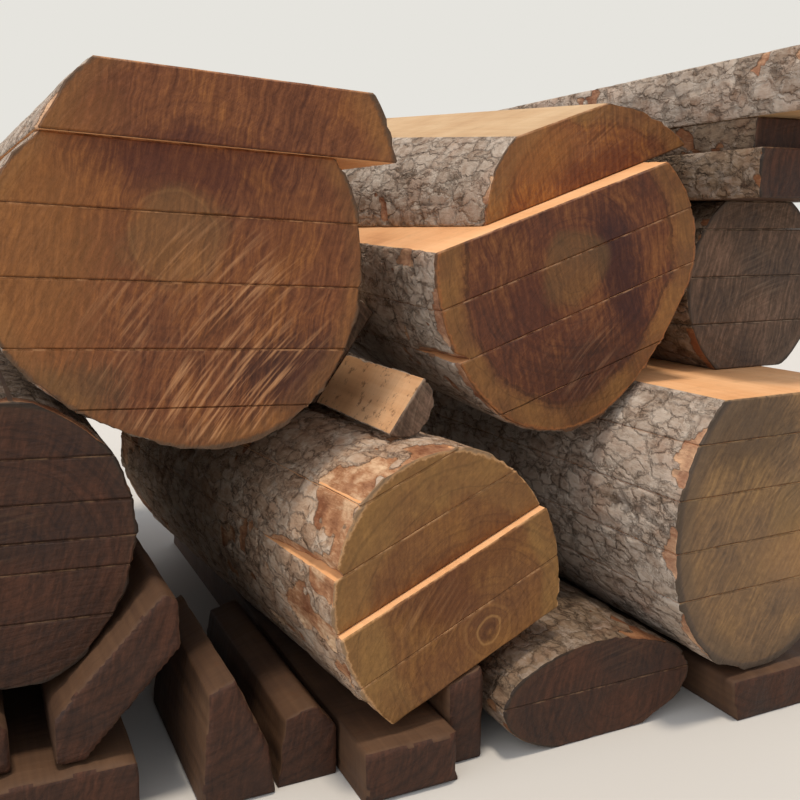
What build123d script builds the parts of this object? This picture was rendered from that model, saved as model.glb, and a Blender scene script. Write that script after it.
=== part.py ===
from build123d import *
import math
import os
import numpy as np

# A heap of sawn logs: every log is sawn through into boards and stacked again in log order
# Lengths are millimetres; X runs right, Y runs back along the logs, Z is up
# A turn is yaw, pitch and roll in degrees; cuts are heights measured from a log's axis
# Lobes make an outline less round: skewed, pear shaped and lopsided, as shares of its radius

# Gap left between neighbours that touch
SEAT = 0.3
# Height left under a log that rests on round or sloping neighbours
REST = 0.5
# Thinnest end that a slab running out along a tapering log keeps
THIN_END = 4
# Widest angle between outline points, in radians
ANGLE_STEP = 0.2
SPARE = 1
# The same, for finding where pieces touch
CONTACT_STEP = 0.07
# How much a log's radius has shrunk at its back end
SHRINK = 0.98

# Big left log
BIG_PLACE = (241, 1053, 610)
BIG_TURN = (1, 0, -3.3)
BIG_WIDTH = 433
BIG_HEIGHT = 409
BIG_LENGTH = 1100
BIG_CUTS = (-230, -157, -90, -16, 59, 133)
BIG_LOBES = (0, -0.037, 0)

# Thick loose slab on the big left log
SLAB_SPIN = 0.5
SLAB_SHIFT = (38, -10)
SLAB_WIDTH = 424
SLAB_HEIGHT = 420
SLAB_LENGTH = 1050
SLAB_CUTS = (62, 139)
SLAB_LOBES = (0.03, -0.02, 0)

# Middle log of the top row
MID_PLACE = (725, 1021, 580)
MID_TURN = (-2, 1.65, 19)
MID_WIDTH = 401
MID_HEIGHT = 383
MID_LENGTH = 1100
MID_CUTS = (-230, -135, -48, 24, 94)
MID_LOBES = (0.027, 0.046, 0.025)
MID_SHRINK = 0.97

# Loose slab on the middle log
CAP_SPIN = 2.4
CAP_SHIFT = (92, 50)
CAP_WIDTH = 362
CAP_HEIGHT = 312
CAP_LENGTH = 900
CAP_CUTS = (50, 142)
CAP_LOBES = (-0.03, 0.02, 0)
CAP_SHRINK = 1.3
CAP_RISE = 55

# Right log
RIGHT_PLACE = (968, 872, 290)
RIGHT_TURN = (1.5, 0, 0)
RIGHT_WIDTH = 372
RIGHT_HEIGHT = 424
RIGHT_LENGTH = 1150
RIGHT_CUTS = (-260, -105, -40, 28, 96, 150)
RIGHT_LOBES = (0.09, 0.014, 0.035)
RIGHT_SHRINK = 0.97

# Front log in the middle, its two lower boards pulled forward
FRONT_PLACE = (515, 942, 212)
FRONT_TURN = (5, -1, 21)
FRONT_WIDTH = 315
FRONT_HEIGHT = 368
FRONT_LENGTH = 950
FRONT_CUTS = (-95, -30, 38, 99, 162, 230)
FRONT_LOBES = (0.022, 0.008, 0.014)
FRONT_SHRINK = 0.97
FRONT_PULL = 12

# Lower left log
LOW_PLACE = (46, 1047, 320)
LOW_TURN = (0, 0, -3)
LOW_WIDTH = 252
LOW_HEIGHT = 320
LOW_LENGTH = 1050
LOW_CUTS = (-200, -86, -30, 4, 46, 96, 200)
LOW_LOBES = (0, 0.01, 0.01)

# Small split log wedged between the three big ones, the thicker upper half pushed back
WEDGE_PLACE = (486, 1015, 450)
WEDGE_TURN = (0.8, 0, 54)
WEDGE_WIDTH = 84
WEDGE_LENGTH = 800
WEDGE_CUTS = (-100, -4)
WEDGE_TOP_SHIFT = (35, 240)
WEDGE_TOP_WIDTH = 168
WEDGE_TOP_HEIGHT = 150
WEDGE_TOP_CUTS = (-14, 100)

# Half log on the ground under the right log, its flat base below its axis
HALF_X = 711
HALF_Y = 905
HALF_WIDTH = 290
HALF_HEIGHT = 138
HALF_LENGTH = 900
HALF_BASE = 62
HALF_CUT = 6
HALF_SHRINK = 0.98

# Upper right log lying on the right log
UPPER_SPIN = -1.5
UPPER_SHIFT = (128, 190)
UPPER_WIDTH = 262
UPPER_HEIGHT = 286
UPPER_LENGTH = 700
UPPER_CUTS = (-124, -55, 14, 83, 124)
UPPER_LOBES = (0, 0.01, 0)
UPPER_SHRINK = 0.98

# Three flitches on the upper right log, each laid on the one before
DARK_SHIFT = (6, -120)
DARK_WIDTH = 270
DARK_LENGTH = 880
DARK_CUTS = (-35, 30)
THIN_SPIN = -2
THIN_SHIFT = (-2, 30)
THIN_WIDTH = 230
THIN_LENGTH = 940
THIN_CUTS = (-20, 22)
TOP_SPIN = 1
TOP_SHIFT = (4, -80)
TOP_WIDTH = 250
TOP_LENGTH = 1000
TOP_CUTS = (-46, 33)
FLITCH_LOBES = (0, 0.02, 0)
FLITCH_SHRINK = 0.96

# Sleeper on the ground
SLEEPER_X = -75
SLEEPER_Y = 985
SLEEPER_WIDTH = 225
SLEEPER_HEIGHT = 70
SLEEPER_LENGTH = 815

# Two chocks on the sleeper, end outlines from their lowest corner
RIGHT_CHOCK_X = 62
RIGHT_CHOCK_Y = 1000
RIGHT_CHOCK_LENGTH = 500
RIGHT_CHOCK_OUTLINE = [(0, 0), (34, 0), (144, 112), (144, 166), (126, 180), (114, 170), (0, 56)]
LEFT_CHOCK_X = 22
LEFT_CHOCK_Y = 1010
LEFT_CHOCK_LENGTH = 690
LEFT_CHOCK_OUTLINE = [(0, 0), (-96, 0), (-120, 80), (-112, 162), (0, 50)]

# Plank under the front log
PLANK_X = 379
PLANK_Y = 890
PLANK_WIDTH = 121
PLANK_HEIGHT = 66
PLANK_LENGTH = 1010

# Prop beside the plank, its top planed to the front log's underside
PROP_Y = 925
PROP_WIDTH = 52
PROP_LENGTH = 575

# Two offcuts left of the plank, end outlines from their lowest right corner
RIGHT_OFFCUT_Y = 970
RIGHT_OFFCUT_WIDTH = 79
RIGHT_OFFCUT_LENGTH = 360
RIGHT_OFFCUT_OUTLINE = [(0, 60), (-27, 96), (-67, 84)]
LEFT_OFFCUT_Y = 960
LEFT_OFFCUT_WIDTH = 92
LEFT_OFFCUT_LENGTH = 280
LEFT_OFFCUT_OUTLINE = [(-8, 60), (-44, 152), (-76, 140)]

# Slab on the ground under the right log
BASE_X = 896
BASE_Y = 855
BASE_WIDTH = 248
BASE_HEIGHT = 60
BASE_LENGTH = 1045
BASE_OVERHANG = 12
BASE_TAPER = 22


def axes(turn):
    # Directions of a log: back along the log, across a board, and up through the boards
    yaw, pitch, roll = [math.radians(angle) for angle in turn]
    rise = np.array([math.sin(yaw) * math.sin(pitch), -math.cos(yaw) * math.sin(pitch), math.cos(pitch)])
    back = np.array([-math.sin(yaw) * math.cos(pitch), math.cos(yaw) * math.cos(pitch), math.sin(pitch)])
    level = np.array([math.cos(yaw), math.sin(yaw), 0.0])
    across = level * math.cos(roll) + rise * math.sin(roll)
    up = rise * math.cos(roll) - level * math.sin(roll)
    return back, across, up


class Log:
    # A tapering log known by its front centre, its directions, its outline and its saw cuts
    def __init__(self, place, directions, width, height, length, cuts, lobes=(0, 0, 0), shrink=SHRINK,
                 rise=0):
        self.place = np.array(place, float)
        self.back, self.across, self.up = directions
        self.width = width
        self.height = height
        self.length = length
        self.cuts = cuts
        self.lobes = lobes
        self.shrink = shrink
        self.rise = rise
        heights = self.ring(np.linspace(0, 2 * math.pi, 361), 1.0)[1]
        self.crown = heights.max()
        self.keel = heights.min()
        self.ends = self.rims()

    def ring(self, angles, scale):
        # Outline points in board directions
        skew, pear, tilt = self.lobes
        oval = 1 / np.hypot(np.cos(angles) * 2 / self.width, np.sin(angles) * 2 / self.height)
        bulge = 1 + skew * np.sin(2 * angles) + pear * np.cos(3 * angles) + tilt * np.sin(3 * angles)
        reach = oval * bulge * scale
        return reach * np.cos(angles), reach * np.sin(angles)

    def finish(self, low, high):
        # Share of the log's length over which a board stays thick enough
        if self.shrink >= 1:
            return 1.0
        least = max((low + THIN_END) / self.crown, (high - THIN_END) / self.keel)
        return min(1.0, (1 - least) / (1 - self.shrink))

    def sweep(self, low, high, is_right, scale):
        # First and last angle of one side of a board
        turns = np.linspace(-math.pi, math.pi, 361)
        heights = self.ring(turns, scale)[1]
        foot = turns[heights.argmin()]
        head = turns[heights.argmax()]
        if not is_right:
            foot = foot + 2 * math.pi
        turns = np.linspace(foot, head, 361)
        return np.interp([low, high], self.ring(turns, scale)[1], turns)

    def count(self, low, high, is_right, step):
        # How many points one side of a board takes
        edges = self.sweep(low, high, is_right, 1.0)
        return max(3, math.ceil(abs(edges[1] - edges[0]) / step) + 1)

    def bark(self, edges, share, count):
        # Outline points from one angle to another, in the log's own directions
        scale = 1 + (self.shrink - 1) * share
        u, v = self.ring(np.linspace(edges[0], edges[1], count), scale)
        return self.back * self.length * share + np.outer(u, self.across) + np.outer(v, self.up)

    def outline(self, low, high, share):
        # The end outline of one rough board
        sides = []
        for is_right in (True, False):
            edges = self.sweep(low, high, is_right, 1.0)
            count = self.count(low, high, is_right, ANGLE_STEP)
            sides.append(self.bark(edges, share, count) + self.place)
        right = sides[0]
        left = sides[1][::-1]
        if low <= self.keel:
            curves = [np.concatenate([left, right[1:]])]
        elif high >= self.crown:
            curves = [np.concatenate([right, left[1:]])]
        else:
            curves = [right, left]
        curves = [[Vector(*point) for point in curve] for curve in curves]
        edges = []
        for curve, following in zip(curves, curves[1:] + curves[:1]):
            edges.append(Edge.make_spline(curve))
            edges.append(Edge.make_line(curve[-1], following[0]))
        return Wire(edges)

    def room(self, low, high):
        # The space between two saw cuts
        reach = self.finish(low, high) * self.length
        side = Plane(Vector(*self.place), Vector(*self.back), Vector(*self.across))
        foot = low + SEAT / 2
        head = high - SEAT / 2
        path = Polyline((0, foot), (reach, foot), (reach, head + self.rise), (0, head), close=True)
        return extrude(side.location * make_face(path), self.width, both=True)

    def board(self, low, high):
        # One board between two saw cuts
        foot = min(low, low / self.shrink) - SPARE
        head = max(high, (high + self.rise) / self.shrink) + SPARE
        rough = Solid.make_loft([self.outline(foot, head, share) for share in (0.0, 1.0)], ruled=True)
        return (rough & self.room(low, high)).solid()

    def boards(self):
        return [self.board(low, high) for low, high in zip(self.cuts[:-1], self.cuts[1:])]

    def spun(self, angle):
        # The log's directions turned flat on its saw cuts
        a = math.radians(angle)
        back = self.back * math.cos(a) - self.across * math.sin(a)
        across = self.across * math.cos(a) + self.back * math.sin(a)
        return back, across, self.up

    def under(self):
        # The space below the log's lowest cut
        depth = self.height
        middle = self.place + self.back * self.length / 2 + self.up * (self.cuts[0] - SEAT - depth / 2)
        plane = Plane(Vector(*middle), Vector(*self.across), Vector(*self.up))
        return plane.location * Box(self.width * 2, self.length * 2, depth)

    def rims(self):
        # Matching outline points of the front and the back end, measured from the log's place
        loops = [[], []]
        boards = list(zip(self.cuts[:-1], self.cuts[1:]))
        turns = [(pair, True) for pair in boards] + [(pair, False) for pair in boards[::-1]]
        for (low, high), is_right in turns:
            finish = self.finish(low, high)
            count = self.count(low, high, is_right, CONTACT_STEP)
            front = self.bark(self.sweep(low, high, is_right, 1.0), 0.0, count)
            thin = 1 + (self.shrink - 1) * finish
            edges = self.sweep(low, high + self.rise * finish, is_right, thin)
            rear = front + (self.bark(edges, finish, count) - front) / finish
            loops[0].append(front if is_right else front[::-1])
            loops[1].append(rear if is_right else rear[::-1])
        return [np.concatenate(loop + [loop[0][:1]]) for loop in loops]

    def span(self):
        # Where the log starts and ends along the heap
        return self.place[1] + self.ends[0][:, 1].min(), self.place[1] + self.ends[1][:, 1].max()

    def section(self, y):
        # Outline where an upright plane across the heap meets the log
        front, rear = self.ends
        share = (y - self.place[1] - front[:, 1]) / (rear[:, 1] - front[:, 1])
        points = self.place + front + (rear - front) * share[:, None]
        return points[:, 0], points[:, 2], np.abs(share - 0.5) <= 0.5005

    def move(self, x, z):
        self.place = self.place + np.array([x, 0.0, z])


class Block:
    # A straight piece lying along the heap, known by its end outline
    def __init__(self, corner, outline, front, length):
        self.outline = [(corner[0] + x, corner[1] + z) for x, z in outline]
        self.front = front
        self.length = length

    def span(self):
        return self.front, self.front + self.length

    def section(self, y):
        points = np.array(self.outline + self.outline[:1], float)
        return points[:, 0], points[:, 1], points[:, 0] < math.inf

    def body(self):
        face = Plane.XZ.offset(-self.front) * make_face(Polyline(*self.outline, close=True))
        return extrude(face, -self.length)


def profile(section, grid):
    # Lowest and highest height of an outline over a row of X places
    x, z, real = section
    start = x[:-1, None]
    run = x[1:, None] - start
    run = np.where(np.abs(run) < 1e-9, 1e-9, run)
    share = (grid[None, :] - start) / run
    inside = (share >= 0) & (share <= 1) & (real[:-1] & real[1:])[:, None]
    height = z[:-1, None] + share * (z[1:, None] - z[:-1, None])
    low = np.where(inside, height, np.inf).min(axis=0)
    high = np.where(inside, height, -np.inf).max(axis=0)
    return low, high


def lift(upper, lowers):
    # How far an upper piece must rise to clear the pieces under it
    need = -1000.0
    for lower in lowers:
        start = max(upper.span()[0], lower.span()[0])
        finish = min(upper.span()[1], lower.span()[1])
        inward = np.array([0, 3, 6, 9, 12, 16, 22, 28])
        between = np.linspace(start + 60, finish - 60, 11)
        for y in np.concatenate([start + inward, between, finish - inward]):
            above = upper.section(y)
            below = lower.section(y)
            left = max(above[0].min(), below[0].min()) + 0.01
            right = min(above[0].max(), below[0].max()) - 0.01
            if right <= left:
                continue
            grid = np.unique(np.clip(np.concatenate([above[0], below[0]]), left, right))
            bottom = profile(above, grid)[0]
            top = profile(below, grid)[1]
            need = max(need, float((top - bottom).max()))
    return need


def drop(upper, lowers):
    upper.move(0, lift(upper, lowers) + REST)


def nestle(upper, left, right):
    # Slide a log sideways until it rests on its left and its right neighbour at once
    low = -70.0
    high = 70.0
    for step in range(14):
        middle = (low + high) / 2
        upper.move(middle, 0)
        difference = lift(upper, left) - lift(upper, right)
        upper.move(-middle, 0)
        if difference > 0:
            low = middle
        else:
            high = middle
    upper.move((low + high) / 2, 0)
    drop(upper, left + right)


def laid_on(lower, spin, shift, width, height, length, cuts, lobes, shrink=SHRINK, rise=0):
    # A log whose lowest cut lies on the top cut of the one below
    across, along = shift
    log = Log(lower.place, lower.spun(spin), width, height, length, cuts, lobes, shrink, rise)
    climb = lower.cuts[-1] - cuts[0]
    log.place = lower.place + lower.across * across + lower.back * along + lower.up * climb
    return log


# Pieces on the ground
def plain(width, height):
    return [(0, 0), (width, 0), (width, height), (0, height)]


def leaning(width, outline):
    return [(-width, 0), (0, 0)] + outline


sleeper = Block((SLEEPER_X, 0), plain(SLEEPER_WIDTH, SLEEPER_HEIGHT), SLEEPER_Y, SLEEPER_LENGTH)
right_chock = Block((RIGHT_CHOCK_X, SLEEPER_HEIGHT + SEAT), RIGHT_CHOCK_OUTLINE, RIGHT_CHOCK_Y,
                    RIGHT_CHOCK_LENGTH)
left_chock = Block((LEFT_CHOCK_X, SLEEPER_HEIGHT + SEAT), LEFT_CHOCK_OUTLINE, LEFT_CHOCK_Y,
                   LEFT_CHOCK_LENGTH)
plank = Block((PLANK_X, 0), plain(PLANK_WIDTH, PLANK_HEIGHT), PLANK_Y, PLANK_LENGTH)
right_offcut = Block((PLANK_X - SEAT, 0), leaning(RIGHT_OFFCUT_WIDTH, RIGHT_OFFCUT_OUTLINE), RIGHT_OFFCUT_Y,
                     RIGHT_OFFCUT_LENGTH)
left_offcut = Block((PLANK_X - RIGHT_OFFCUT_WIDTH - 2 * SEAT, 0),
                    leaning(LEFT_OFFCUT_WIDTH, LEFT_OFFCUT_OUTLINE), LEFT_OFFCUT_Y, LEFT_OFFCUT_LENGTH)
prop = Block((PLANK_X + PLANK_WIDTH + SEAT, 0), plain(PROP_WIDTH, FRONT_PLACE[2]), PROP_Y, PROP_LENGTH)
base = Block((BASE_X, 0), [(0, 0), (BASE_WIDTH, 0), (BASE_WIDTH - BASE_TAPER, BASE_HEIGHT),
                           (-BASE_OVERHANG, BASE_HEIGHT)], BASE_Y, BASE_LENGTH)
half = Log((HALF_X, HALF_Y, HALF_BASE - SEAT / 2), axes((0, 0, 0)), HALF_WIDTH, HALF_HEIGHT, HALF_LENGTH,
           (-HALF_BASE, HALF_CUT, HALF_HEIGHT), (0, 0, 0), HALF_SHRINK)

# Logs of the bottom row
low = Log(LOW_PLACE, axes(LOW_TURN), LOW_WIDTH, LOW_HEIGHT, LOW_LENGTH, LOW_CUTS, LOW_LOBES)
nestle(low, [left_chock], [right_chock])

right = Log(RIGHT_PLACE, axes(RIGHT_TURN), RIGHT_WIDTH, RIGHT_HEIGHT, RIGHT_LENGTH, RIGHT_CUTS, RIGHT_LOBES,
            RIGHT_SHRINK)
nestle(right, [half], [base])

front = Log(FRONT_PLACE, axes(FRONT_TURN), FRONT_WIDTH, FRONT_HEIGHT, FRONT_LENGTH, FRONT_CUTS, FRONT_LOBES,
            FRONT_SHRINK)
drop(front, [plank])
front.move(0, FRONT_PULL * abs(front.back[2]))

# Split log wedged between the bottom and top rows
wedge = Log(WEDGE_PLACE, axes(WEDGE_TURN), WEDGE_WIDTH, WEDGE_WIDTH, WEDGE_LENGTH, WEDGE_CUTS)
drop(wedge, [front])
wedge_top = laid_on(wedge, 0, WEDGE_TOP_SHIFT, WEDGE_TOP_WIDTH, WEDGE_TOP_HEIGHT, WEDGE_LENGTH,
                    WEDGE_TOP_CUTS, (0, 0, 0))

# Logs of the top row
mid = Log(MID_PLACE, axes(MID_TURN), MID_WIDTH, MID_HEIGHT, MID_LENGTH, MID_CUTS, MID_LOBES, MID_SHRINK)
nestle(mid, [wedge, wedge_top], [right])
big = Log(BIG_PLACE, axes(BIG_TURN), BIG_WIDTH, BIG_HEIGHT, BIG_LENGTH, BIG_CUTS, BIG_LOBES)
nestle(big, [low], [wedge, wedge_top])

# Pieces laid sawn face to sawn face on the logs
slab = laid_on(big, SLAB_SPIN, SLAB_SHIFT, SLAB_WIDTH, SLAB_HEIGHT, SLAB_LENGTH, SLAB_CUTS, SLAB_LOBES)
cap = laid_on(mid, CAP_SPIN, CAP_SHIFT, CAP_WIDTH, CAP_HEIGHT, CAP_LENGTH, CAP_CUTS, CAP_LOBES,
              CAP_SHRINK, CAP_RISE)
upper = laid_on(right, UPPER_SPIN, UPPER_SHIFT, UPPER_WIDTH, UPPER_HEIGHT, UPPER_LENGTH, UPPER_CUTS,
                UPPER_LOBES, UPPER_SHRINK)
dark = laid_on(upper, 0, DARK_SHIFT, DARK_WIDTH, DARK_WIDTH, DARK_LENGTH, DARK_CUTS, (0, 0, 0),
               FLITCH_SHRINK)
thin = laid_on(dark, THIN_SPIN, THIN_SHIFT, THIN_WIDTH, THIN_WIDTH, THIN_LENGTH, THIN_CUTS, FLITCH_LOBES,
               FLITCH_SHRINK)
top = laid_on(thin, TOP_SPIN, TOP_SHIFT, TOP_WIDTH, TOP_WIDTH, TOP_LENGTH, TOP_CUTS, FLITCH_LOBES,
              FLITCH_SHRINK)

parts = {}


def keep(name, shape):
    solids = shape.solids()
    if len(solids) != 1:
        raise ValueError(name + " is not one solid: " + str(len(solids)))
    parts[name] = solids[0]


def keep_log(log, log_name, names):
    # Each board of a log under its own name, the last name for its topmost piece
    for name, board in zip(names, log.boards()):
        keep(log_name + "_" + name, board)


keep_log(big, "big_left_log", ["bottom_slab", "board_1", "board_2", "board_3", "board_4"])
keep_log(slab, "big_left_log", ["loose_slab"])
keep_log(mid, "middle_log", ["bottom_slab", "board_1", "board_2", "board_3"])
keep_log(cap, "middle_log", ["loose_slab"])
keep_log(right, "right_log", ["bottom_slab", "board_1", "board_2", "board_3", "board_4"])
keep_log(low, "lower_left_log", ["bottom_slab", "board_1", "board_2", "board_3", "board_4", "top_slab"])
keep_log(half, "half_log", ["bottom", "top"])
keep_log(upper, "upper_right_log", ["board_1", "board_2", "board_3", "board_4"])
keep("dark_flitch", dark.boards()[0])
keep("thin_flitch", thin.boards()[0])
keep("top_flitch", top.boards()[0])

# The two lower boards of the front log stand forward of the rest
pull = Location(Vector(*(front.back * -FRONT_PULL)))
names = ["board_1", "board_2", "board_3", "board_4", "top_slab"]
for name, board in zip(names, front.boards()):
    keep("front_log_" + name, board.moved(pull) if name in ("board_1", "board_2") else board)

keep_log(wedge, "wedged_log", ["lower_half"])
keep_log(wedge_top, "wedged_log", ["upper_half"])

# Blocks on the ground
keep("ground_sleeper", sleeper.body())
keep("left_chock", left_chock.body())
keep("right_chock", right_chock.body())
keep("offcut_left", left_offcut.body())
keep("offcut_right", right_offcut.body())
keep("ground_plank", plank.body())
keep("ground_slab", base.body())
keep("front_prop", prop.body() & front.under())

# The heap stands on Z = 0 with its footprint centred
boxes = [part.bounding_box() for part in parts.values()]
low_x = min(box.min.X for box in boxes)
high_x = max(box.max.X for box in boxes)
low_y = min(box.min.Y for box in boxes)
high_y = max(box.max.Y for box in boxes)
low_z = min(box.min.Z for box in boxes)
shift = Location((-(low_x + high_x) / 2, -(low_y + high_y) / 2, -low_z))

os.makedirs("parts", exist_ok=True)
for name, part in parts.items():
    placed = part.moved(shift)
    placed.label = name
    export_step(placed, "parts/" + name + ".step")
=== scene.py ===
import math
from collections import namedtuple

import bpy
import numpy as np
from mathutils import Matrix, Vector


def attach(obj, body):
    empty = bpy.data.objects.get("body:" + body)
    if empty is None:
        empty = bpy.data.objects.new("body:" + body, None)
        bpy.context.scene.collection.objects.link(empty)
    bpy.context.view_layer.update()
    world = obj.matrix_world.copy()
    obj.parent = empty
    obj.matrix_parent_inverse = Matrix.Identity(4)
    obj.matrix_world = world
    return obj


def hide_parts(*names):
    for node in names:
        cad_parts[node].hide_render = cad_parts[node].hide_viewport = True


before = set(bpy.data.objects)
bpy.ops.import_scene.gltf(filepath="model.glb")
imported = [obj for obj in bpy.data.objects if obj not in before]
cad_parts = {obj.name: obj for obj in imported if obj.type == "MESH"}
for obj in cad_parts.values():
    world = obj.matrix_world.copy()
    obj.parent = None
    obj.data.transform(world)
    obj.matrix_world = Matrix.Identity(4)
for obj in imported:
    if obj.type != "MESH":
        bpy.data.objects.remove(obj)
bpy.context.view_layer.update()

MM = 0.001


# Camera, standing in front of the left part of the heap and looking a little down to the right
EYE = (-0.572, -1.5057, 0.645)
LOOK_RIGHT = 25.3
LOOK_DOWN = 10.4
camera = bpy.data.objects.new("camera", bpy.data.cameras.new("camera"))
camera.location = EYE
camera.rotation_euler = (math.radians(90 - LOOK_DOWN), 0, math.radians(-LOOK_RIGHT))
camera.data.sensor_width = 36
camera.data.lens = 42.75
bpy.context.scene.collection.objects.link(camera)
bpy.context.scene.camera = camera
bpy.context.scene.view_settings.view_transform = "Standard"


def linear(colour):
    # A colour written as sRGB hex, turned into the linear numbers that shaders take
    channels = [int(colour[place:place + 2], 16) / 255 for place in (1, 3, 5)]
    return [c / 12.92 if c <= 0.04045 else ((c + 0.055) / 1.055) ** 2.4 for c in channels] + [1.0]


# Repeatable uneven patterns, worked out from whole numbers

def chance(i, j, seed):
    # A number from 0 to 1 for each square of a grid
    n = (i * 374761393 + j * 668265263 + seed * 1442695041) & 0xFFFFFFFF
    n = ((n ^ (n >> 13)) * 1274126177) & 0xFFFFFFFF
    n = ((n ^ (n >> 15)) * 2246822519) & 0xFFFFFFFF
    return ((n ^ (n >> 16)) & 0xFFFF) / 65535.0


def cloud(x, y, seed):
    # Soft patches from 0 to 1, one unit across
    i = np.floor(x).astype(np.int64)
    j = np.floor(y).astype(np.int64)
    fx = x - i
    fy = y - j
    fx = fx * fx * (3 - 2 * fx)
    fy = fy * fy * (3 - 2 * fy)
    low = chance(i, j, seed) * (1 - fx) + chance(i + 1, j, seed) * fx
    high = chance(i, j + 1, seed) * (1 - fx) + chance(i + 1, j + 1, seed) * fx
    return low * (1 - fy) + high * fy


def ease(low, high, x):
    # 0 below low, 1 above high, and smooth between
    t = np.clip((x - low) / (high - low), 0, 1)
    return t * t * (3 - 2 * t)


# Bark: flat scaly plates along the log with thin cracks between them, and patches where they flaked off
PLATE_LENGTH = 58
PLATE_WIDTH = 27
CRACK_DEPTH = 3.4
FLAKE_DEPTH = 3.2
HIGH_PLATE = 0.8
BARK_TOP = 1.2
CRACK_SHARE = 0.11


def bark_relief(along, around, from_end, girth, seed, flaking):
    # Height in mm over the smooth log, and how much of each point is crack and flaked patch. flaking is
    # the share that flaked off, how much more flaked near the ends, and how far that reaches in mm.
    # Plate edges wander, in long sweeps and short ones
    bent = along + 34 * (cloud(along / 70, around / 45, seed) - 0.5)
    bent = bent + 14 * (cloud(along / 21, around / 17, seed + 1) - 0.5)
    side = around + 24 * (cloud(along / 62, around / 40, seed + 2) - 0.5)
    side = side + 9 * (cloud(along / 18, around / 13, seed + 3) - 0.5)
    count = max(8, int(round(girth / PLATE_WIDTH)))
    p = bent / PLATE_LENGTH
    q = side / girth * count

    # The nearest plate middle, and how near the second one is
    i = np.floor(p).astype(np.int64)
    j = np.floor(q).astype(np.int64)
    first = np.full(p.shape, 9.0)
    second = np.full(p.shape, 9.0)
    level = np.zeros(p.shape)
    lean = np.zeros(p.shape)
    for di in (-1, 0, 1):
        for dj in (-1, 0, 1):
            ci = i + di
            cj = j + dj
            wrapped = cj % count
            dx = p - ci - 0.1 - 0.8 * chance(ci, wrapped, seed + 4)
            dy = q - cj - 0.1 - 0.8 * chance(ci, wrapped, seed + 5)
            reach = np.hypot(dx, dy)
            nearer = reach < first
            second = np.where(nearer, first, np.minimum(second, reach))
            level = np.where(nearer, chance(ci, wrapped, seed + 6), level)
            lean = np.where(nearer, dx, lean)
            first = np.where(nearer, reach, first)

    # Cracks where both are as near, closed in places, between plates that stand and lean each its own way
    crack = np.exp(-((second - first) / CRACK_SHARE) ** 2)
    crack = crack * ease(0.25, 0.75, cloud(along / 80, around / 60, seed + 7))
    fine = cloud(along / 11, around / 7, seed + 8) - 0.5
    ridge = cloud(along / 120, around / 11, seed + 9) - 0.5
    height = HIGH_PLATE - CRACK_DEPTH * crack + 1.5 * (level - HIGH_PLATE) + 1.1 * lean * level
    height = height + 0.9 * fine + 1.3 * ridge

    # Flaked patches with ragged edges, down to the rough inner bark
    share, end_share, end_reach = flaking
    patch = 0.5 * cloud(along / 95, around / 55, seed + 10)
    patch = patch + 0.32 * cloud(along / 34, around / 22, seed + 11)
    patch = patch + 0.18 * cloud(along / 13, around / 9, seed + 13)
    patch = patch + end_share * np.exp(-(from_end / end_reach) ** 2)
    flake = ease(1 - share, 1 - share + 0.05, patch)
    bare = -FLAKE_DEPTH + 1.4 * (cloud(along / 14, around / 8, seed + 12) - 0.5)
    height = height * (1 - flake) + bare * flake
    return np.minimum(height, BARK_TOP), crack * (1 - flake), flake


# Sawn logs: each board is rebuilt from the end outlines of its own solid, in mm. Arrises are rounded by
# CHAMFER on the ends and ARRIS_SETBACK on the sides, and points within ON_PLANE of a plane lie on it.
CHAMFER = 2.4
ARRIS_SETBACK = 1.6
END_CELL = 26
ON_PLANE = 0.05
NEAR_CUT = 0.5
LEAST_CUT = 3
ROUND_END = 0.9985

# Places of the materials in each board's list
END, FACE, BARK = 0, 1, 2

End = namedtuple("End", "chains low high is_flat place")
Log = namedtuple("Log", "back across up heart_u heart_v start girth bark_line seed spacing flaking")


def end_outline(points, is_rear, across, up, back):
    # Left and right edge of an end face over its height, all in mm in the board's own directions
    along = points @ back
    place = along.max() if is_rear else along.min()
    rim = points[np.abs(along - place) < ON_PLANE]
    u = rim @ across
    v = rim @ up
    low = v.min()
    high = v.max()
    is_flat = [np.ptp(u[on_plane]) > LEAST_CUT for on_plane in (v < low + ON_PLANE, v > high - ON_PLANE)]
    middle = (u.min() + u.max()) / 2
    if not is_flat[1]:
        middle = u[v.argmax()]
    if not is_flat[0]:
        middle = u[v.argmin()]
    chains = []
    for side in (-1, 1):
        keep = (u - middle) * side >= -0.01
        if is_flat[0]:
            keep = keep & (v > low + NEAR_CUT)
        if is_flat[1]:
            keep = keep & (v < high - NEAR_CUT)
        chain_v = v[keep]
        chain_u = u[keep]
        for is_cut, near, level in ((is_flat[0], v < low + NEAR_CUT, low),
                                    (is_flat[1], v > high - NEAR_CUT, high)):
            if is_cut:
                chain_v = np.append(chain_v, level)
                chain_u = np.append(chain_u, side * (u[near] * side).max())
        order = np.argsort(chain_v)
        chains.append((chain_v[order], chain_u[order]))
    return End(chains, low, high, is_flat, place)


def board_directions(points, faces):
    # Back along the board, across it and up through it, from its largest flat faces
    corners = points[faces]
    normals = np.cross(corners[:, 1] - corners[:, 0], corners[:, 2] - corners[:, 0])
    areas = np.linalg.norm(normals, axis=1)
    normals = normals[areas > 1e-6] / areas[areas > 1e-6, None]
    areas = areas[areas > 1e-6]
    ends = normals[:, 1] < -0.8
    back = -(normals[ends] * areas[ends, None]).sum(axis=0)
    back = back / np.linalg.norm(back)
    level = np.abs(normals @ back) < 0.02
    best = None
    most = 0
    for normal, area in zip(normals[level], areas[level]):
        alike = level & (np.abs(normals @ normal) > 0.9999998)
        if areas[alike].sum() + area > most:
            most = areas[alike].sum() + area
            best = normal
    up = best if best[2] > 0 else -best
    up = up - back * (up @ back)
    up = up / np.linalg.norm(up)
    return back, np.cross(back, up), up


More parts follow.
